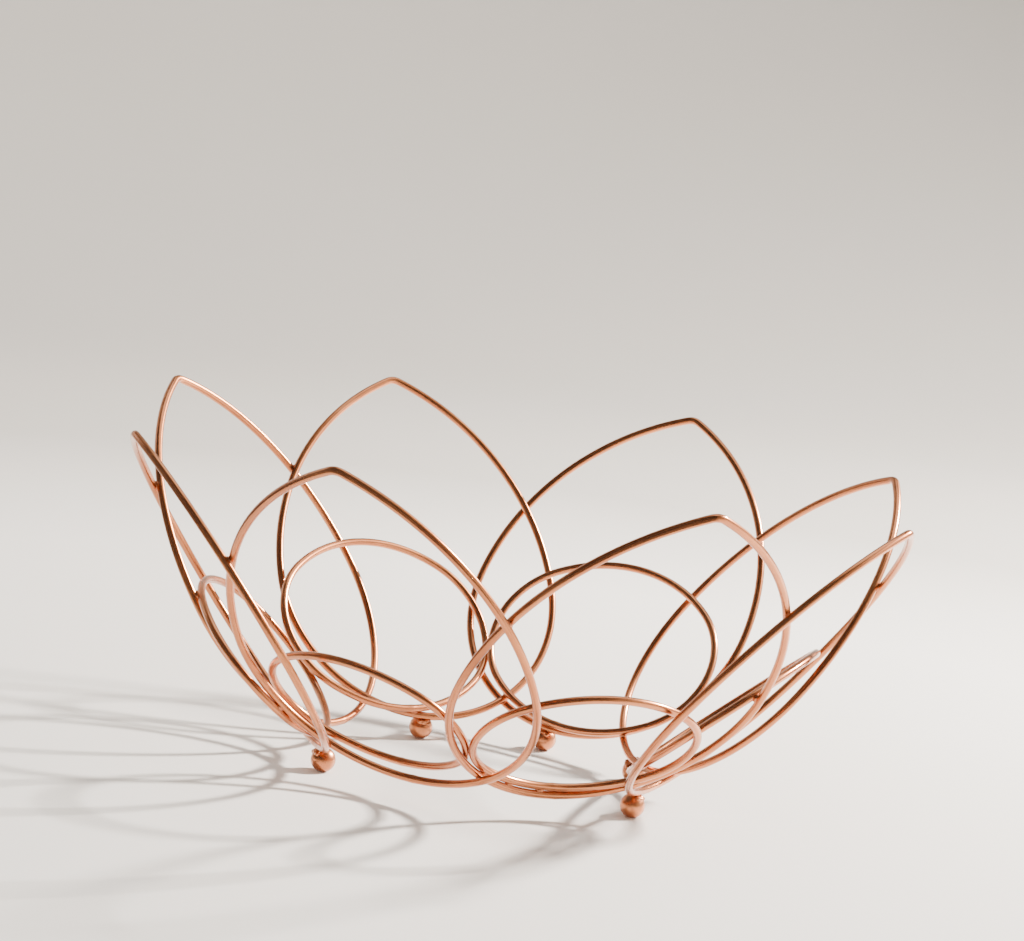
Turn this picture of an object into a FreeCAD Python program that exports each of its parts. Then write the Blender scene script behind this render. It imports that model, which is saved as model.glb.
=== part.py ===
import FreeCAD, Part
import math
import os

import Sketcher

# Wire produce basket: eight pointed petals of round wire, each a flat closed loop that leans
# outward, six round loops nested inside them, ball feet, and weld beads where the wires meet.
# Millimetres, +Z up, front is -Y. The origin is under the middle of the basket, on the floor.

# ---------------------------------------------------------------- driving dimensions
DIMENSIONS = {
    "wire_d": 3.2,              # diameter of every wire
    "petal_half_width": 63.0,   # also the radius of the round bottom
    "tip_bend": 6.0,            # bend radius at the tip
    "petal_slope": 53.5,        # degrees from the floor
    "loop_height_ratio": 0.8,   # height of a round loop against its width
    "loop_bend_ratio": 0.35,    # bend radius at its two sides against its width
    "loop_rise": 3.5,           # bottom of a round loop above the bottom of a petal
    "ball_d": 10.0,
    "ball_flat_d": 3.0,         # flat that the ball stands on
    "wire_over_ball": 5.4,      # lowest wire centreline over the middle of a ball
    "weld_sink": 0.35,          # how far a ball is welded into its wire
    "bead_d": 4.2,              # weld bead where two wires cross
    "weld_reach": 4.0,          # a round loop is welded to a petal if centrelines pass this close
    "centre_x": 0.0,            # moves the whole basket over its own middle, set below
    "centre_y": 0.0,
}

# Petals in order round the basket: bearing (degrees, counter-clockwise from +X), distance of the
# bottom from the middle, twist about the line from bottom to tip (degrees), and length from the
# bottom to the tip. Twist and distance lay each petal against its neighbours, one wire outside
# the other at every crossing.
PETALS = {
    "petal_left_front": (200.0, 72.0, 0.0, 146.0),
    "petal_left_back": (161.0, 62.5, 5.5, 158.0),
    "petal_back_left": (115.0, 52.5, 0.5, 160.0),
    "petal_back_right": (62.0, 59.5, -3.0, 160.0),
    "petal_right_back": (15.0, 64.0, -5.5, 158.0),
    "petal_right_front": (-23.0, 71.0, 2.0, 151.0),
    "petal_front_right": (-64.0, 63.5, 1.5, 161.5),
    "petal_front_left": (-114.0, 67.0, -0.5, 160.0),
}

# Round loops: bearing, distance, twist, slope (degrees from the floor) and width.
LOOPS = {
    "loop_left": (186.5, 65.0, 5.5, 42.0, 95.5),
    "loop_back_left": (127.5, 52.75, 0.0, 48.0, 100.5),
    "loop_back_right": (57.5, 55.0, -4.5, 50.5, 102.0),
    "loop_right": (-9.0, 61.25, 5.5, 42.0, 109.0),
    "loop_front_right": (-65.5, 64.0, 3.0, 43.0, 88.0),
    "loop_front_left": (-123.0, 60.0, -2.0, 42.0, 85.5),
}

# Ball feet: the petal that each is welded to, how far along its round bottom (mm), and the side
# of the wire that it sits on: 1 inside, -1 outside.
FEET = {
    "foot_left": ("petal_left_front", 6.0, 1),
    "foot_back_left": ("petal_back_left", 5.0, -1),
    "foot_back_right": ("petal_back_right", 5.0, -1),
    "foot_right": ("petal_right_back", 5.0, -1),
    "foot_front_right": ("petal_right_front", -8.0, 1),
}

doc = FreeCAD.newDocument("wire_basket")
dims = doc.addObject("Spreadsheet::Sheet", "dims")


def fill_sheet():
    row = 1
    for name, value in DIMENSIONS.items():
        dims.set("A%d" % row, name)
        dims.set("B%d" % row, str(value))
        dims.setAlias("B%d" % row, name)
        row += 1
    layout = ("bearing", "distance", "twist")
    for group, words in ((PETALS, layout + ("length",)), (LOOPS, layout + ("slope", "width"))):
        for name, values in group.items():
            for word, value in zip(words, values):
                dims.set("A%d" % row, name + "_" + word)
                dims.set("B%d" % row, str(value))
                dims.setAlias("B%d" % row, name + "_" + word)
                row += 1
    doc.recompute()


def cell(name):
    return float(dims.get(name))


# ---------------------------------------------------------------- sketch helpers
def origin_plane(body, role):
    for feature in body.Origin.OriginFeatures:
        if feature.Role == role:
            return feature
    raise ValueError("no origin feature " + role)


def new_sketch(body, name, role):
    sketch = body.newObject("Sketcher::SketchObject", name)
    sketch.AttachmentSupport = [(origin_plane(body, role), "")]
    sketch.MapMode = "FlatFace"
    return sketch


def arc(cx, cy, radius, start, end):
    circle = Part.Circle(FreeCAD.Vector(cx, cy, 0), FreeCAD.Vector(0, 0, 1), radius)
    return Part.ArcOfCircle(circle, math.radians(start), math.radians(end))


def drive(sketch, constraint, name, expression):
    """Adds a constraint with a name and ties its value to the sheet."""
    index = sketch.addConstraint(constraint)
    sketch.renameConstraint(index, name)
    sketch.setExpression("Constraints." + name, expression)


def join(sketch, first, first_point, second, second_point):
    """Two arcs run into each other smoothly."""
    sketch.addConstraint(Sketcher.Constraint("Tangent", first, first_point, second, second_point))


START, END, CENTRE = 1, 2, 3
ORIGIN = (-1, 1)
Y_AXIS = -2


def sweep_wire(body, path):
    """Sweeps the round wire along a closed path that starts at the body's origin, along X."""
    name = body.Name
    section = new_sketch(body, name + "_section", "YZ_Plane")
    circle = Part.Circle(FreeCAD.Vector(0, 0, 0), FreeCAD.Vector(0, 0, 1), cell("wire_d") / 2)
    section.addGeometry(circle, False)
    section.addConstraint(Sketcher.Constraint("Coincident", 0, CENTRE, *ORIGIN))
    drive(section, Sketcher.Constraint("Diameter", 0, cell("wire_d")), "wire_d", "dims.wire_d")
    sweep = body.newObject("PartDesign::AdditivePipe", name + "_wire")
    sweep.Profile = section
    sweep.Spine = path
    sweep.Mode = "Frenet"
    body.Tip = sweep


# ---------------------------------------------------------------- petals and loops
def petal_path(body):
    """Round bottom, two long side arcs and a tight bend at the tip, in the body's XY plane."""
    half = cell("petal_half_width")
    length = cell(body.Name + "_length")
    tip = cell("tip_bend")
    tip_y = length - tip
    rise = tip_y - half
    # The side arc leaves the round bottom upright and runs into the tip bend.
    side = (half ** 2 + rise ** 2 - tip ** 2) / (2 * (half - tip))
    side_x = half - side
    turn = math.degrees(math.atan2(rise, -side_x))

    sketch = new_sketch(body, body.Name + "_path", "XY_Plane")
    sketch.addGeometry(arc(0, half, half, -90, 0), False)
    sketch.addGeometry(arc(side_x, half, side, 0, turn), False)
    sketch.addGeometry(arc(0, tip_y, tip, turn, 180 - turn), False)
    sketch.addGeometry(arc(-side_x, half, side, 180 - turn, 180), False)
    sketch.addGeometry(arc(0, half, half, 180, 270), False)
    sketch.addConstraint(Sketcher.Constraint("Coincident", 0, START, *ORIGIN))
    sketch.addConstraint(Sketcher.Constraint("PointOnObject", 0, CENTRE, Y_AXIS))
    sketch.addConstraint(Sketcher.Constraint("Coincident", 4, CENTRE, 0, CENTRE))
    sketch.addConstraint(Sketcher.Constraint("Coincident", 4, END, *ORIGIN))
    sketch.addConstraint(Sketcher.Constraint("Horizontal", 0, CENTRE, 0, END))
    join(sketch, 0, END, 1, START)
    join(sketch, 1, END, 2, START)
    join(sketch, 2, END, 3, START)
    join(sketch, 3, END, 4, START)
    sketch.addConstraint(Sketcher.Constraint("PointOnObject", 2, CENTRE, Y_AXIS))
    sketch.addConstraint(Sketcher.Constraint("Horizontal", 4, CENTRE, 4, START))
    drive(sketch, Sketcher.Constraint("Radius", 0, half), "half_width", "dims.petal_half_width")
    drive(sketch, Sketcher.Constraint("Radius", 2, tip), "tip_bend", "dims.tip_bend")
    drive(sketch, Sketcher.Constraint("DistanceY", -1, 1, 2, CENTRE, tip_y), "tip_centre",
          "dims." + body.Name + "_length - dims.tip_bend")
    return sketch


def loop_path(body):
    """An oval of two broad and two tight arcs, its bottom at the origin, in the XY plane."""
    width = cell(body.Name + "_width")
    half_height = width * cell("loop_height_ratio") / 2
    tight = width * cell("loop_bend_ratio")
    inset = width / 2 - tight
    broad = (inset ** 2 + half_height ** 2 - tight ** 2) / (2 * (half_height - tight))
    turn = math.degrees(math.atan2(broad - half_height, inset))

    sketch = new_sketch(body, body.Name + "_path", "XY_Plane")
    sketch.addGeometry(arc(0, broad, broad, -90, -turn), False)
    sketch.addGeometry(arc(inset, half_height, tight, -turn, turn), False)
    sketch.addGeometry(arc(0, 2 * half_height - broad, broad, turn, 180 - turn), False)
    sketch.addGeometry(arc(-inset, half_height, tight, 180 - turn, 180 + turn), False)
    sketch.addGeometry(arc(0, broad, broad, 180 + turn, 270), False)
    sketch.addConstraint(Sketcher.Constraint("Coincident", 0, START, *ORIGIN))
    sketch.addConstraint(Sketcher.Constraint("PointOnObject", 0, CENTRE, Y_AXIS))
    sketch.addConstraint(Sketcher.Constraint("Coincident", 4, CENTRE, 0, CENTRE))
    sketch.addConstraint(Sketcher.Constraint("Coincident", 4, END, *ORIGIN))
    for first in range(4):
        join(sketch, first, END, first + 1, START)
    sketch.addConstraint(Sketcher.Constraint("Equal", 1, 3))
    sketch.addConstraint(Sketcher.Constraint("Equal", 0, 2))
    wide = "dims." + body.Name + "_width"
    drive(sketch, Sketcher.Constraint("Radius", 1, tight), "end_bend",
          wide + " * dims.loop_bend_ratio")
    drive(sketch, Sketcher.Constraint("DistanceX", -1, 1, 1, CENTRE, inset), "inset",
          wide + " * (0.5 - dims.loop_bend_ratio)")
    drive(sketch, Sketcher.Constraint("DistanceY", -1, 1, 1, CENTRE, half_height), "middle",
          wide + " * dims.loop_height_ratio / 2")
    return sketch


def leaning(name, slope, rise):
    """Placement of a flat wire loop: local X along the rim, local Y up the slope to the tip."""
    bearing = math.radians(cell(name + "_bearing"))
    distance = cell(name + "_distance")
    slope = math.radians(slope)
    outward = FreeCAD.Vector(math.cos(bearing), math.sin(bearing), 0)
    along = FreeCAD.Vector(-math.sin(bearing), math.cos(bearing), 0)
    upward = outward * math.cos(slope) + FreeCAD.Vector(0, 0, math.sin(slope))
    face = along.cross(upward)
    stand = FreeCAD.Rotation(along, upward, face, "XYZ")
    twist = FreeCAD.Rotation(FreeCAD.Vector(0, 1, 0), -cell(name + "_twist"))
    base = outward * distance
    base += FreeCAD.Vector(cell("centre_x"), cell("centre_y"), wire_level() + rise)
    return FreeCAD.Placement(base, stand.multiply(twist))


def wire_level():
    """Height of the petals' lowest wire centreline, which rests on the balls."""
    return cell("ball_d") / 2 - ball_cut() + cell("wire_over_ball")


def ball_cut():
    """Height lost from a ball by its flat."""
    radius = cell("ball_d") / 2
    return radius - math.sqrt(radius ** 2 - (cell("ball_flat_d") / 2) ** 2)


def place_petals():
    for name in PETALS:
        doc.getObject(name).Placement = leaning(name, cell("petal_slope"), 0)


def make_petals():
    for name in PETALS:
        body = doc.addObject("PartDesign::Body", name)
        body.Label = name
        sweep_wire(body, petal_path(body))
    place_petals()
    doc.recompute()


def centre_the_basket():
    """Moves the petals, which are the widest pieces, over the origin."""
    box = FreeCAD.BoundBox()
    for name in PETALS:
        box.add(doc.getObject(name).Shape.optimalBoundingBox(False, False))
    dims.set("centre_x", "%.2f" % -box.Center.x)
    dims.set("centre_y", "%.2f" % -box.Center.y)
    doc.recompute()
    place_petals()


def make_loops():
    for name in LOOPS:
        body = doc.addObject("PartDesign::Body", name)
        body.Label = name
        sweep_wire(body, loop_path(body))
        body.Placement = leaning(name, cell(name + "_slope"), cell("loop_rise"))


# ---------------------------------------------------------------- feet
def foot_profile(body):
    """Half section of a ball with a flat underneath, in the XZ plane."""
    radius = cell("ball_d") / 2
    flat = cell("ball_flat_d") / 2
    middle = radius - ball_cut()
    start = math.degrees(math.atan2(-middle, flat))
    top = FreeCAD.Vector(0, middle + radius, 0)
    edge = FreeCAD.Vector(flat, 0, 0)
    floor = FreeCAD.Vector(0, 0, 0)

    sketch = new_sketch(body, body.Name + "_profile", "XZ_Plane")
    sketch.addGeometry(Part.LineSegment(top, floor), False)
    sketch.addGeometry(Part.LineSegment(floor, edge), False)
    sketch.addGeometry(arc(0, middle, radius, start, 90), False)
    for first in range(3):
        following = (first + 1) % 3
        sketch.addConstraint(Sketcher.Constraint("Coincident", first, END, following, START))
    sketch.addConstraint(Sketcher.Constraint("Coincident", 0, END, *ORIGIN))
    sketch.addConstraint(Sketcher.Constraint("Vertical", 0))
    sketch.addConstraint(Sketcher.Constraint("Horizontal", 1))
    sketch.addConstraint(Sketcher.Constraint("PointOnObject", 2, CENTRE, Y_AXIS))
    drive(sketch, Sketcher.Constraint("Radius", 2, radius), "ball_radius", "dims.ball_d / 2")
    drive(sketch, Sketcher.Constraint("DistanceX", 1, START, 1, END, flat), "flat",
          "dims.ball_flat_d / 2")
    return sketch


def foot_point(petal, along, side):
    """The point on the floor under a ball that touches the petal's round bottom."""
    half = cell("petal_half_width")
    local = FreeCAD.Vector(along, half - math.sqrt(half ** 2 - along ** 2), 0)
    wire = doc.getObject(petal).Placement.multVec(local)
    reach = (cell("ball_d") + cell("wire_d")) / 2 - cell("weld_sink")
    drop = wire.z - cell("ball_d") / 2 + ball_cut()
    aside = math.sqrt(max(0.0, reach ** 2 - drop ** 2))
    bearing = math.radians(cell(petal + "_bearing"))
    inward = FreeCAD.Vector(-math.cos(bearing), -math.sin(bearing), 0)
    point = wire + inward * aside * side
    return FreeCAD.Vector(point.x, point.y, 0)


def make_feet():
    for name, (petal, along, side) in FEET.items():
        body = doc.addObject("PartDesign::Body", name)
        body.Label = name
        profile = foot_profile(body)
        turned = body.newObject("PartDesign::Revolution", name + "_ball")
        turned.Profile = profile
        turned.ReferenceAxis = (profile, ["V_Axis"])
        turned.Angle = 360
        body.Tip = turned
        place = foot_point(petal, along, side)
        body.Placement = FreeCAD.Placement(place, FreeCAD.Rotation())


# ---------------------------------------------------------------- weld beads
def centreline(name, upper):
    """The side arcs and tip (upper) or the round bottom of a wire loop, where it stands."""
    sketch = doc.getObject(name + "_path")
    picks = (1, 2, 3) if upper else (0, 4)
    edges = [sketch.Geometry[i].toShape() for i in picks]
    shape = Part.makeCompound(edges)
    shape.Placement = doc.getObject(name).Placement
    return shape


def meeting_point(first, second):
    """Middle of the shortest line between two centrelines, and its length."""
    gap, pairs = first.distToShape(second)[:2]
    return (pairs[0][0] + pairs[0][1]) * 0.5, gap


def make_beads(name, points):
    spheres = []
    for count, point in enumerate(points):
        sphere = doc.addObject("Part::Sphere", "%s_%d" % (name, count + 1))
        sphere.setExpression("Radius", "dims.bead_d / 2")
        sphere.Placement.Base = point
        spheres.append(sphere)
    group = doc.addObject("Part::Compound", name)
    group.Label = name
    group.Links = spheres
    return group


def petal_welds():
    """Each petal crosses the next one twice: low down near the feet, and high up."""
    names = list(PETALS)
    low, high = [], []
    for first, second in zip(names, names[1:] + names[:1]):
        low.append(meeting_point(centreline(first, False), centreline(second, False))[0])
        high.append(meeting_point(centreline(first, True), centreline(second, True))[0])
    return low, high


def loop_welds():
    """A round loop is welded wherever it comes within the weld's reach of a petal."""
    points = []
    for loop in LOOPS:
        whole = Part.makeCompound([centreline(loop, False), centreline(loop, True)])
        for petal in PETALS:
            for upper in (False, True):
                point, gap = meeting_point(whole, centreline(petal, upper))
                if gap < cell("weld_reach"):
                    points.append(point)
    return points


# ---------------------------------------------------------------- build and write
fill_sheet()
make_petals()
centre_the_basket()
make_loops()
doc.recompute()
make_feet()
low_welds, high_welds = petal_welds()
make_beads("weld_beads_low", low_welds)
make_beads("weld_beads_high", high_welds)
make_beads("weld_beads_loops", loop_welds())
doc.recompute()

NODES = list(PETALS) + list(LOOPS) + list(FEET)
NODES += ["weld_beads_low", "weld_beads_high", "weld_beads_loops"]

for item in doc.Objects:
    if "Invalid" in item.State or "Error" in item.State:
        raise RuntimeError("%s failed: %s" % (item.Name, item.State))

box = FreeCAD.BoundBox()
for node in NODES:
    shape = doc.getObject(node).Shape
    if shape.isNull() or not shape.isValid():
        raise RuntimeError("bad shape in " + node)
    box.add(shape.optimalBoundingBox(False, False))

os.makedirs("parts", exist_ok=True)
for node in NODES:
    doc.getObject(node).Shape.exportStep(os.path.join("parts", node + ".step"))
print("%d nodes, box %s" % (len(NODES), box))
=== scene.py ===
import math

import bmesh
import bpy
import numpy as np
from mathutils import Matrix, Vector, noise


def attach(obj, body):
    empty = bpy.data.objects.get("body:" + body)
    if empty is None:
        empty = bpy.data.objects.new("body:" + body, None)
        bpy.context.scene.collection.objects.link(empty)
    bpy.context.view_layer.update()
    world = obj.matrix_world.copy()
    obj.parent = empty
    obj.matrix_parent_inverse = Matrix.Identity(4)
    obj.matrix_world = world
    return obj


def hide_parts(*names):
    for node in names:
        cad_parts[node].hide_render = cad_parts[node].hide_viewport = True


# Wire produce basket: satin copper wire petals and round loops, weld lumps and ball feet.
# Metres, +Z up, front is -Y, standing on z = 0.

MM = 0.001
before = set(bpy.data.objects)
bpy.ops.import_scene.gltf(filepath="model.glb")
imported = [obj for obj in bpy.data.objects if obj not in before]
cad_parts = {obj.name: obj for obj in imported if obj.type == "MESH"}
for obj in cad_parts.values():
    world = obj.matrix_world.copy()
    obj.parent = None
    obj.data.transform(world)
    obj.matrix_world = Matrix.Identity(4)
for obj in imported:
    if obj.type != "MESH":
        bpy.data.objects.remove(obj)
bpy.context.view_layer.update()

# ------------------------------------------------------------------ shape of the basket (mm)
WIRE_R = 1.6
PETAL_HALF_WIDTH = 63.0
TIP_BEND = 6.0
PETAL_SLOPE = 53.5
LOOP_HEIGHT_RATIO = 0.8
LOOP_BEND_RATIO = 0.35
LOOP_RISE = 3.5
BALL_R = 5.0
BALL_FLAT_R = 1.5
WELD_SINK = 0.35
WIRE_OVER_BALL = 5.4
BALL_MIDDLE = math.sqrt(BALL_R ** 2 - BALL_FLAT_R ** 2)
WIRE_LEVEL = BALL_MIDDLE + WIRE_OVER_BALL

STEP = 1.2                  # between the points of an outline
TIP_STEP = 0.6              # the same on the bend at a petal's tip
WIRE_SIDES = 24
WIRE_WAVES = range(2, 7)    # waves round a loop, as a hand-bent wire wanders
MOST_PHASE = 6.3
GAUGE_WANDER = 0.004        # share of the wire's radius
BUTT_SWELL = 0.07           # the same, where the two ends of a loop are welded together
BUTT_REACH = 1.1
WAVE_SEEDS, LOOP_SEEDS = 50, 20     # set the draws of different pieces apart

# bearing (degrees), distance of the bottom from the middle, twist (degrees), length to the tip
PETALS = {
    "petal_left_front": (200.0, 72.0, 0.0, 146.0),
    "petal_left_back": (161.0, 62.5, 5.5, 158.0),
    "petal_back_left": (115.0, 52.5, 0.5, 160.0),
    "petal_back_right": (62.0, 59.5, -3.0, 160.0),
    "petal_right_back": (15.0, 64.0, -5.5, 158.0),
    "petal_right_front": (-23.0, 71.0, 2.0, 151.0),
    "petal_front_right": (-64.0, 63.5, 1.5, 161.5),
    "petal_front_left": (-114.0, 67.0, -0.5, 160.0),
}
# bearing, distance and twist as above, then slope (degrees) and width
LOOPS = {
    "loop_left": (186.5, 65.0, 5.5, 42.0, 95.5),
    "loop_back_left": (127.5, 52.75, 0.0, 48.0, 100.5),
    "loop_back_right": (57.5, 55.0, -4.5, 50.5, 102.0),
    "loop_right": (-9.0, 61.25, 5.5, 42.0, 109.0),
    "loop_front_right": (-65.5, 64.0, 3.0, 43.0, 88.0),
    "loop_front_left": (-123.0, 60.0, -2.0, 42.0, 85.5),
}
# petal, the way along its round bottom, and the side of the wire: 1 inside, -1 outside
FEET = {
    "foot_left": ("petal_left_front", 6.0, 1),
    "foot_back_left": ("petal_back_left", 5.0, -1),
    "foot_back_right": ("petal_back_right", 5.0, -1),
    "foot_right": ("petal_right_back", 5.0, -1),
    "foot_front_right": ("petal_right_front", -8.0, 1),
}


def arc(cx, cy, radius, start, end, step=STEP):
    """Points along an arc, its first end left out."""
    count = max(3, int(abs(math.radians(end - start)) * radius / step))
    angles = np.radians(np.linspace(start, end, count + 1)[1:])
    return np.c_[cx + radius * np.cos(angles), cy + radius * np.sin(angles)]


def petal_outline(length):
    half, tip_y = PETAL_HALF_WIDTH, length - TIP_BEND
    rise = tip_y - half
    side = (half ** 2 + rise ** 2 - TIP_BEND ** 2) / (2 * (half - TIP_BEND))
    side_x = half - side
    turn = math.degrees(math.atan2(rise, -side_x))
    return np.vstack([
        arc(0, half, half, -90, 0),
        arc(side_x, half, side, 0, turn),
        arc(0, tip_y, TIP_BEND, turn, 180 - turn, TIP_STEP),
        arc(-side_x, half, side, 180 - turn, 180),
        arc(0, half, half, 180, 270),
    ])


def loop_outline(width):
    half_height = width * LOOP_HEIGHT_RATIO / 2
    tight = width * LOOP_BEND_RATIO
    inset = width / 2 - tight
    broad = (inset ** 2 + half_height ** 2 - tight ** 2) / (2 * (half_height - tight))
    turn = math.degrees(math.atan2(broad - half_height, inset))
    return np.vstack([
        arc(0, broad, broad, -90, -turn),
        arc(inset, half_height, tight, -turn, turn),
        arc(0, 2 * half_height - broad, broad, turn, 180 - turn),
        arc(-inset, half_height, tight, 180 - turn, 180 + turn),
        arc(0, broad, broad, 180 + turn, 270),
    ])


def stand(outline, bearing, distance, twist, slope, rise, centre):
    """Stands a flat outline on its bottom point, leaning outward, round the centre (mm)."""
    bearing, twist, slope = (math.radians(a) for a in (bearing, twist, slope))
    across, up = outline[:, 0], outline[:, 1]
    out = across * math.sin(twist)
    across = across * math.cos(twist)
    x = distance + up * math.cos(slope) + out * math.sin(slope)
    z = up * math.sin(slope) - out * math.cos(slope) + WIRE_LEVEL + rise
    return np.c_[
        x * math.cos(bearing) - across * math.sin(bearing) + centre[0],
        x * math.sin(bearing) + across * math.cos(bearing) + centre[1],
        z,
    ]


def middle_of_petals():
    """Where the middle of the layout goes, so that the petals' box is over the origin."""
    whole = np.vstack([
        stand(petal_outline(length), bearing, distance, twist, PETAL_SLOPE, 0.0, (0.0, 0.0))
        for bearing, distance, twist, length in PETALS.values()
    ])
    middle = (whole.min(axis=0) + whole.max(axis=0)) / 2
    return (-middle[0], -middle[1])


CENTRE = middle_of_petals()


def smooth_wave(count, seed):
    """A closed, slowly changing wave about nought, one value for each of count points."""
    rng = np.random.RandomState(seed)
    angle = np.linspace(0, 2 * math.pi, count, endpoint=False)
    return sum(
        rng.uniform(-1, 1) * np.sin(k * angle + rng.uniform(0, MOST_PHASE)) / k
        for k in WIRE_WAVES
    )


# ------------------------------------------------------------------ materials
DRAWN_LINES = (60.0, 4200.0, 1.0)   # noise per metre along and around a wire
BALL_LINES = (900.0, 900.0, 900.0)  # the same noise on balls and lumps, alike in all directions
FINE_GRAIN, PATCHES = 2600.0, 38.0  # noise per metre
LINE_DEPTH, GRAIN_DEPTH = 0.00004, 0.00002
GRAIN_SHARE = 0.7                   # strength of the fine grain against the lines
SMOOTHER, ROUGHER = 0.05, 0.07      # how far the roughness strays to either side
COAT, COAT_ROUGHNESS = 0.45, 0.14   # a thin clear lacquer over the plating


def noise_node(nodes, links, vector, scale, detail):
    node = nodes.new("ShaderNodeTexNoise")
    node.inputs["Scale"].default_value = scale
    node.inputs["Detail"].default_value = detail
    links.new(vector, node.inputs["Vector"])
    return node


def ramp_node(nodes, links, factor, stops):
    """A colour ramp over two or more (position, colour) stops."""
    node = nodes.new("ShaderNodeValToRGB")
    elements = node.color_ramp.elements
    for element, (position, colour) in zip(elements, stops):
        element.position, element.color = position, (*colour, 1.0)
    for position, colour in stops[len(elements):]:
        elements.new(position).color = (*colour, 1.0)
    links.new(factor, node.inputs["Fac"])
    return node


def bump_node(nodes, links, height, strength, distance):
    node = nodes.new("ShaderNodeBump")
    node.inputs["Strength"].default_value = strength
    node.inputs["Distance"].default_value = distance
    links.new(height, node.inputs["Height"])
    return node


def copper(name, pale, deep, rough, grain, along=True):
    """Satin copper plating: drawn lines along the wire, fine grain and small colour changes."""
    mat = bpy.data.materials.new(name)
    mat.use_nodes = True
    nodes, links = mat.node_tree.nodes, mat.node_tree.links
    bsdf = nodes["Principled BSDF"]
    bsdf.inputs["Metallic"].default_value = 1.0
    bsdf.inputs["Coat Weight"].default_value = COAT
    bsdf.inputs["Coat Roughness"].default_value = COAT_ROUGHNESS

    # a wire's UV map runs in metres along and around it
    coords = nodes.new("ShaderNodeTexCoord")
    lines_map = nodes.new("ShaderNodeMapping")
    lines_map.inputs["Scale"].default_value = DRAWN_LINES if along else BALL_LINES
    links.new(coords.outputs["UV" if along else "Object"], lines_map.inputs["Vector"])
    lines = noise_node(nodes, links, lines_map.outputs["Vector"], 1.0, 3.0)
    fine = noise_node(nodes, links, coords.outputs["Object"], FINE_GRAIN, 4.0)
    patch = noise_node(nodes, links, coords.outputs["Object"], PATCHES, 3.0)

    tint = ramp_node(nodes, links, patch.outputs["Fac"], ((0.30, deep), (0.72, pale)))
    links.new(tint.outputs["Color"], bsdf.inputs["Base Color"])

    mixed = nodes.new("ShaderNodeMath")
    mixed.operation = "ADD"
    links.new(lines.outputs["Fac"], mixed.inputs[0])
    links.new(patch.outputs["Fac"], mixed.inputs[1])
    spread = nodes.new("ShaderNodeMapRange")
    spread.inputs["From Min"].default_value = 0.6
    spread.inputs["From Max"].default_value = 1.4
    spread.inputs["To Min"].default_value = rough - SMOOTHER
    spread.inputs["To Max"].default_value = rough + ROUGHER
    links.new(mixed.outputs["Value"], spread.inputs["Value"])
    links.new(spread.outputs["Result"], bsdf.inputs["Roughness"])

    low = bump_node(nodes, links, lines.outputs["Fac"], grain, LINE_DEPTH)
    high = bump_node(nodes, links, fine.outputs["Fac"], grain * GRAIN_SHARE, GRAIN_DEPTH)
    links.new(low.outputs["Normal"], high.inputs["Normal"])
    links.new(high.outputs["Normal"], bsdf.inputs["Normal"])
    return mat


wire_copper = copper("copper_wire", (0.60, 0.222, 0.086), (0.46, 0.15, 0.056), 0.26, 0.3)
loop_copper = copper("copper_loop", (0.62, 0.236, 0.095), (0.48, 0.162, 0.063), 0.26, 0.3)
ball_copper = copper("copper_ball", (0.64, 0.245, 0.10), (0.47, 0.158, 0.062), 0.29, 0.6, False)
weld_copper = copper("copper_weld", (0.54, 0.19, 0.078), (0.34, 0.105, 0.042), 0.34, 0.9, False)


def plain(name, pale, deep, rough, scale):
    """A matt surface with faint clouds between two colours."""
    mat = bpy.data.materials.new(name)
    mat.use_nodes = True
    nodes, links = mat.node_tree.nodes, mat.node_tree.links
    bsdf = nodes["Principled BSDF"]
    bsdf.inputs["Roughness"].default_value = rough
    coords = nodes.new("ShaderNodeTexCoord")
    cloud = noise_node(nodes, links, coords.outputs["Object"], scale, 5.0)
    tint = ramp_node(nodes, links, cloud.outputs["Fac"], ((0.35, deep), (0.65, pale)))
    links.new(tint.outputs["Color"], bsdf.inputs["Base Color"])
    return mat


# ------------------------------------------------------------------ meshes
def link_mesh(name, mesh, mat):
    obj = bpy.data.objects.new(name, mesh)
    bpy.context.scene.collection.objects.link(obj)
    mesh.materials.append(mat)
    for face in mesh.polygons:
        face.use_smooth = True
    return obj


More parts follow.
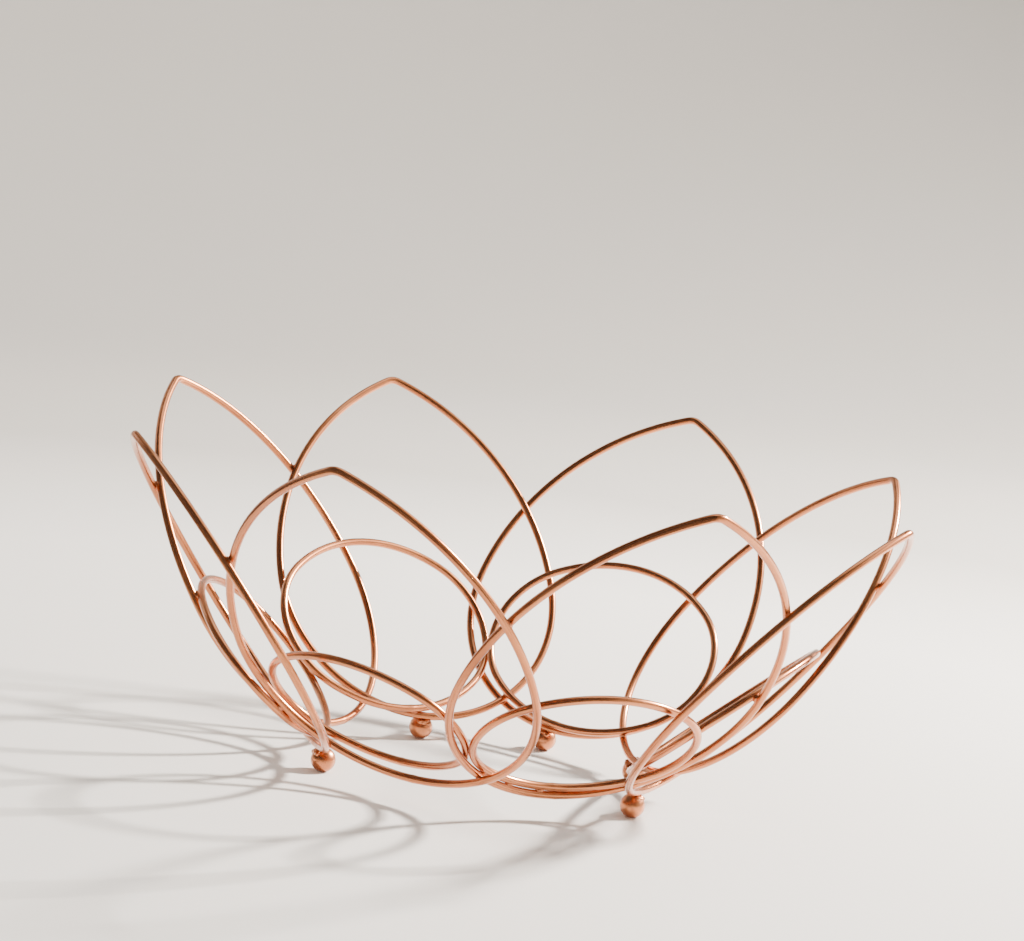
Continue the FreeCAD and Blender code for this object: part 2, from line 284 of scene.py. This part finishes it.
def tube(name, path, mat, seed):
    """A closed round wire along a closed path (mm), with its own coordinates as a UV map."""
    count, sides = len(path), WIRE_SIDES
    ahead = np.roll(path, -1, axis=0)
    behind = np.roll(path, 1, axis=0)
    tangent = ahead - behind
    tangent /= np.linalg.norm(tangent, axis=1)[:, None]
    middle = path.mean(axis=0)
    face = np.linalg.svd(path - middle)[2][2]
    side = np.cross(tangent, face)
    side /= np.linalg.norm(side, axis=1)[:, None]
    top = np.cross(side, tangent)

    steps = np.linalg.norm(ahead - path, axis=1)
    length = np.concatenate([[0.0], np.cumsum(steps)])
    # the drawn wire keeps its gauge; a faint swelling marks the butt weld where its ends meet
    gap = np.minimum(length[:-1], length[-1] - length[:-1])
    swell = BUTT_SWELL * np.exp(-(gap / BUTT_REACH) ** 2)
    radius = WIRE_R * (1 + GAUGE_WANDER * smooth_wave(count, seed + WAVE_SEEDS) + swell)

    angles = np.linspace(0, 2 * math.pi, sides, endpoint=False)
    rings = (
        path[:, None]
        + radius[:, None, None] * np.cos(angles)[None, :, None] * side[:, None]
        + radius[:, None, None] * np.sin(angles)[None, :, None] * top[:, None]
    )
    verts = (rings.reshape(-1, 3) * MM).tolist()
    faces, uvs = [], []
    around = 2 * math.pi * WIRE_R * MM / sides
    for i in range(count):
        j = (i + 1) % count
        u0, u1 = length[i] * MM, length[i + 1] * MM
        for k in range(sides):
            n = (k + 1) % sides
            faces.append((i * sides + k, j * sides + k, j * sides + n, i * sides + n))
            v0, v1 = k * around, (k + 1) * around
            uvs += [(u0, v0), (u1, v0), (u1, v1), (u0, v1)]
    mesh = bpy.data.meshes.new(name)
    mesh.from_pydata(verts, [], faces)
    layer = mesh.uv_layers.new(name="wire")
    layer.data.foreach_set("uv", np.array(uvs, dtype=np.float32).ravel())
    mesh.validate()
    mesh.update()
    bm = bmesh.new()
    bm.from_mesh(mesh)
    bmesh.ops.recalc_face_normals(bm, faces=bm.faces)
    bm.to_mesh(mesh)
    bm.free()
    return link_mesh(name, mesh, mat)


LUMP_DETAIL = 3                     # subdivisions of a lump's ball
LUMP_SHIFTS = (7.3, 3.1, 5.7)       # where in the noise each seed's lump is
COARSE, FINER, FINER_SHARE = 1.6, 4.5, 0.45


def lump(bm, centre, axes, radii, seed, rough=0.12):
    """An uneven weld lump: a stretched ball with a melted surface (mm)."""
    made = bmesh.ops.create_icosphere(bm, subdivisions=LUMP_DETAIL, radius=1.0)
    basis = Matrix(axes).transposed()
    offset = Vector([seed * shift for shift in LUMP_SHIFTS])
    for vert in made["verts"]:
        direction = vert.co.copy()
        swell = 1.0 + rough * noise.noise(direction * COARSE + offset)
        swell += rough * FINER_SHARE * noise.noise(direction * FINER + offset)
        local = Vector([part * radius for part, radius in zip(direction, radii)]) * swell
        vert.co = (Vector(centre) + basis @ local) * MM


def lathe(profile, sides, x=0.0, y=0.0, unit=1.0):
    """Turns a profile of (radius, height) about the upright line through x, y."""
    bm = bmesh.new()
    rings = []
    for radius, z in profile:
        count = sides if radius else 1
        angles = [2 * math.pi * s / sides for s in range(count)]
        rings.append([
            bm.verts.new((
                (x + radius * math.cos(angle)) * unit,
                (y + radius * math.sin(angle)) * unit,
                z * unit,
            ))
            for angle in angles
        ])
    for below, above in zip(rings, rings[1:]):
        for s in range(sides):
            n = (s + 1) % sides
            if len(below) == 1:
                bm.faces.new((below[0], above[n], above[s]))
            elif len(above) == 1:
                bm.faces.new((below[s], below[n], above[0]))
            else:
                bm.faces.new((below[s], below[n], above[n], above[s]))
    return bm


def mesh_of(name, bm, mat):
    mesh = bpy.data.meshes.new(name)
    bmesh.ops.recalc_face_normals(bm, faces=bm.faces)
    bm.to_mesh(mesh)
    bm.free()
    return link_mesh(name, mesh, mat)


def settle(piece, node):
    """Puts a piece on the one body, in place of its CAD node."""
    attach(piece, "root")
    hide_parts(node)


# ------------------------------------------------------------------ wires
paths = {}
for seed, (name, (bearing, distance, twist, length)) in enumerate(PETALS.items()):
    outline = petal_outline(length)
    paths[name] = stand(outline, bearing, distance, twist, PETAL_SLOPE, 0.0, CENTRE)
    piece = tube("wire_" + name, paths[name], wire_copper, seed)
    settle(piece, name)

for seed, (name, (bearing, distance, twist, slope, width)) in enumerate(LOOPS.items()):
    outline = loop_outline(width)
    paths[name] = stand(outline, bearing, distance, twist, slope, LOOP_RISE, CENTRE)
    piece = tube("wire_" + name, paths[name], loop_copper, seed + LOOP_SEEDS)
    settle(piece, name)


# ------------------------------------------------------------------ weld lumps
PETAL_REACH, LOOP_REACH = 5.0, 4.0  # centrelines this close are welded
MOST_MEETINGS, MOST_LOOP_WELDS = 6, 3   # of one pair of wires
WELD_SPACING = 14.0                 # between two welds of one pair
WELD_RADII = (2.1, 1.55, 1.5)       # along the wires, from wire to wire, and the third way
LOOP_WELD_SIZE = 0.9
HALF_WAY_UP = 50.0                  # height between the low and the high crossings of the petals
LOOP_SEED_STEP = 9


def meetings(first, second, reach):
    """Places where two wires pass within reach: (middle, both directions, way across)."""
    found = []
    apart = np.linalg.norm(first[:, None] - second[None], axis=2)
    while len(found) < MOST_MEETINGS:
        i, j = np.unravel_index(apart.argmin(), apart.shape)
        if apart[i, j] > reach:
            break
        one = first[(i + 1) % len(first)] - first[i - 1]
        two = second[(j + 1) % len(second)] - second[j - 1]
        one, two = one / np.linalg.norm(one), two / np.linalg.norm(two)
        found.append(((first[i] + second[j]) / 2, one, two, second[j] - first[i]))
        apart[np.linalg.norm(first - first[i], axis=1) < WELD_SPACING] = np.inf
    return found


def weld(bm, meeting, seed, size=1.0):
    """A lump that bridges two wires where they meet, drawn out along both."""
    middle, one, two, across = meeting
    if one @ two < 0:
        two = -two
    along = Vector(one + two).normalized()
    across = Vector(across).normalized()
    across = (across - along * across.dot(along)).normalized()
    width = along.cross(across)
    lump(bm, middle, (along, across, width), [radius * size for radius in WELD_RADII], seed)


order = list(PETALS)
low_bm, high_bm, loop_bm = bmesh.new(), bmesh.new(), bmesh.new()
for index, (first, second) in enumerate(zip(order, order[1:] + order[:1])):
    for meeting in meetings(paths[first], paths[second], PETAL_REACH):
        height = meeting[0][2]
        weld(low_bm if height < HALF_WAY_UP else high_bm, meeting, index + int(height))
for index, loop in enumerate(LOOPS):
    for petal in PETALS:
        for meeting in meetings(paths[loop], paths[petal], LOOP_REACH)[:MOST_LOOP_WELDS]:
            seed = index * LOOP_SEED_STEP + int(meeting[0][2])
            weld(loop_bm, meeting, seed, LOOP_WELD_SIZE)
settle(mesh_of("welds_low", low_bm, weld_copper), "weld_beads_low")
settle(mesh_of("welds_high", high_bm, weld_copper), "weld_beads_high")
settle(mesh_of("welds_loops", loop_bm, weld_copper), "weld_beads_loops")


# ------------------------------------------------------------------ ball feet
BALL_SIDES, BALL_RINGS = 64, 48
FLAT_RING = 0.6                     # a ring inside the flat, as a share of its radius
FOOT_LUMPS = 9
LUMP_SPACING = 0.62                 # along the wire
LUMP_ASIDE = (1.2, 2.5)             # to the sides of the wire, by turns
LUMP_SINK = 0.35                    # below the ball's surface
LUMP_RADII = (1.25, 1.1, 0.95)
LUMP_SIZES = (0.85, 1.25)
LUMP_ROUGH = 0.3
FOOT_SEED_STEP = 5


def ball_foot(name, petal, along, side, seed):
    """A turned ball with a small flat, and uneven weld lumps where it meets its wire."""
    half = PETAL_HALF_WIDTH
    local = np.array([[along, half - math.sqrt(half ** 2 - along ** 2)]])
    bearing, distance, twist = PETALS[petal][:3]
    wire = stand(local, bearing, distance, twist, PETAL_SLOPE, 0.0, CENTRE)[0]
    reach = BALL_R + WIRE_R - WELD_SINK
    aside = math.sqrt(max(0.0, reach ** 2 - (wire[2] - BALL_MIDDLE) ** 2)) * side
    x = wire[0] - math.cos(math.radians(bearing)) * aside
    y = wire[1] - math.sin(math.radians(bearing)) * aside

    profile = [(0.0, 0.0), (BALL_FLAT_R * FLAT_RING, 0.0), (BALL_FLAT_R, 0.0)]
    start = math.atan2(-BALL_MIDDLE, BALL_FLAT_R)
    for k in range(1, BALL_RINGS):
        a = start + (math.pi / 2 - start) * k / BALL_RINGS
        profile.append((BALL_R * math.cos(a), BALL_MIDDLE + BALL_R * math.sin(a)))
    profile.append((0.0, BALL_MIDDLE + BALL_R))
    bm = lathe(profile, BALL_SIDES, x, y, MM)

    path = paths[petal]
    near = np.linalg.norm(path - wire, axis=1).argmin()
    direction = Vector(path[(near + 1) % len(path)] - path[near - 1]).normalized()
    ball = Vector((x, y, BALL_MIDDLE))
    outward = (Vector(wire) - ball).normalized()
    outward = (outward - direction * outward.dot(direction)).normalized()
    across = outward.cross(direction)
    contact = ball + outward * BALL_R
    rng = np.random.RandomState(seed)
    for k in range(FOOT_LUMPS):
        slide = (k - FOOT_LUMPS // 2) * LUMP_SPACING
        sideways = rng.uniform(*LUMP_ASIDE) * (1 if k % 2 else -1)
        sink = LUMP_SINK + (slide ** 2 + sideways ** 2) / (2 * BALL_R)
        spot = contact + direction * slide + across * sideways - outward * sink
        size = rng.uniform(*LUMP_SIZES)
        radii = [radius * size for radius in LUMP_RADII]
        lump(bm, spot, (direction, across, outward), radii, seed * FOOT_SEED_STEP + k, LUMP_ROUGH)
    settle(mesh_of("ball_" + name, bm, ball_copper), name)


for seed, (name, (petal, along, side)) in enumerate(FEET.items()):
    ball_foot(name, petal, along, side, seed + 1)


# ------------------------------------------------------------------ floor, lights and camera
FLOOR_REACH = 2.5           # metres over which the painted light and shade on the floor change


def floor_material():
    """Pale matt paper, painted brightest under the basket as a pool of light and a little greyer
    further out as painted shade.
    """
    mat = plain("pale_floor", (0.84, 0.82, 0.795), (0.82, 0.80, 0.77), 0.55, 2.0)
    nodes, links = mat.node_tree.nodes, mat.node_tree.links
    bsdf = nodes["Principled BSDF"]
    cloud = bsdf.inputs["Base Color"].links[0].from_socket
    coords = nodes.new("ShaderNodeTexCoord")
    reach = nodes.new("ShaderNodeVectorMath")
    reach.operation = "LENGTH"
    links.new(coords.outputs["Object"], reach.inputs[0])
    spread = nodes.new("ShaderNodeMapRange")
    spread.inputs["From Max"].default_value = FLOOR_REACH
    links.new(reach.outputs["Value"], spread.inputs["Value"])
    # painted light and shade: white under the basket, darkest in a ring about 0.8 m out, a little
    # lighter again further out and up the wall
    stops = ((0.18, (1.0, 1.0, 1.0)), (0.32, (0.69, 0.68, 0.665)), (0.95, (0.80, 0.795, 0.785)))
    shade = ramp_node(nodes, links, spread.outputs["Result"], stops)
    mixed = nodes.new("ShaderNodeMix")
    mixed.data_type = "RGBA"
    mixed.blend_type = "MULTIPLY"
    mixed.inputs[0].default_value = 1.0
    links.new(cloud, mixed.inputs[6])
    links.new(shade.outputs["Color"], mixed.inputs[7])
    links.new(mixed.outputs[2], bsdf.inputs["Base Color"])
    return mat


def backdrop():
    """A pale floor that curves up into a round wall (m)."""
    flat, bend, wall = 1.3, 1.2, 2.4
    steps, sides = 16, 96
    profile = [(0.0, 0.0), (flat / 2, 0.0), (flat, 0.0)]
    for k in range(1, steps + 1):
        a = math.pi / 2 * k / steps
        profile.append((flat + bend * math.sin(a), bend * (1 - math.cos(a))))
    profile.append((flat + bend, bend + wall))
    return mesh_of("floor", lathe(profile, sides), floor_material())


backdrop()


def area_light(name, place, target, width, height, power, colour):
    data = bpy.data.lights.new(name, "AREA")
    data.shape = "RECTANGLE"
    data.size = width
    data.size_y = height
    data.energy = power
    data.color = colour
    obj = bpy.data.objects.new(name, data)
    bpy.context.scene.collection.objects.link(obj)
    obj.location = place
    obj.rotation_euler = (Vector(target) - Vector(place)).to_track_quat("-Z", "Y").to_euler()


area_light("key", (1.15, 0.65, 0.95), (0, 0, 0.05), 0.16, 0.16, 134.0, (1.0, 0.93, 0.85))
area_light("window", (2.05, 0.25, 1.0), (0, 0.05, 0.1), 2.0, 1.6, 15.0, (1.0, 0.96, 0.91))
area_light("top", (0.3, 0.5, 1.95), (0, 0, 0), 1.5, 1.1, 12.0, (1.0, 0.98, 0.95))
area_light("left", (-1.5, 0.6, 0.7), (0, 0, 0.1), 0.25, 0.8, 1.0, (0.97, 0.98, 1.0))


def dark_card():
    """A dark sheet standing in for the unlit part of the studio, in front and to the left, that
    paints dark reflections. Only the metal sees it.
    """
    profile = ((0.28, 0.004), (1.75, 0.004), (1.75, 2.3), (0.05, 2.5))
    start, sweep, count = -205.0, 155.0, 40
    bm = bmesh.new()
    rows = []
    for k in range(count + 1):
        a = math.radians(start + sweep * k / count)
        rows.append([
            bm.verts.new((radius * math.cos(a), radius * math.sin(a), z)) for radius, z in profile
        ])
    for left, right in zip(rows, rows[1:]):
        for k in range(len(profile) - 1):
            bm.faces.new((left[k], right[k], right[k + 1], left[k + 1]))
    # its colour is a painted dark reflection in place of the room's shade
    dark = plain("painted_dark_reflection", (0.085, 0.090, 0.105), (0.065, 0.069, 0.082), 0.9, 1.0)
    card = mesh_of("dark_card", bm, dark)
    card.visible_camera = False
    card.visible_diffuse = False
    card.visible_shadow = False
    card.visible_transmission = False
    return card


dark_card()

world = bpy.data.worlds.new("studio")
bpy.context.scene.world = world
world.use_nodes = True
sky = world.node_tree.nodes["Background"]
sky.inputs["Color"].default_value = (0.9, 0.92, 0.95, 1.0)
sky.inputs["Strength"].default_value = 0.17

# The basket in the photo leans a little to the right; here it stands level and the camera rolls.
PITCH = math.radians(8.39)
ROLL = math.radians(7.85)
EYE = Vector((-4.6 + CENTRE[0], -1189.9 + CENTRE[1], 291.0 + WIRE_LEVEL)) * MM
SENSOR_WIDTH = 36.0
FOCAL_PX, IMAGE_WIDTH_PX = 3000.0, 1024.0
camera_data = bpy.data.cameras.new("camera")
camera_data.sensor_width = SENSOR_WIDTH
camera_data.lens = SENSOR_WIDTH * FOCAL_PX / IMAGE_WIDTH_PX
camera_data.clip_end = 20.0
camera = bpy.data.objects.new("camera", camera_data)
bpy.context.scene.collection.objects.link(camera)
forward = Vector((0, math.cos(PITCH), -math.sin(PITCH)))
level_right = Vector((1, 0, 0))
level_up = Vector((0, math.sin(PITCH), math.cos(PITCH)))
right = level_right * math.cos(ROLL) + level_up * math.sin(ROLL)
up = level_up * math.cos(ROLL) - level_right * math.sin(ROLL)
turned = Matrix((right, up, -forward)).transposed().to_4x4()
camera.matrix_world = Matrix.Translation(EYE) @ turned
bpy.context.scene.camera = camera
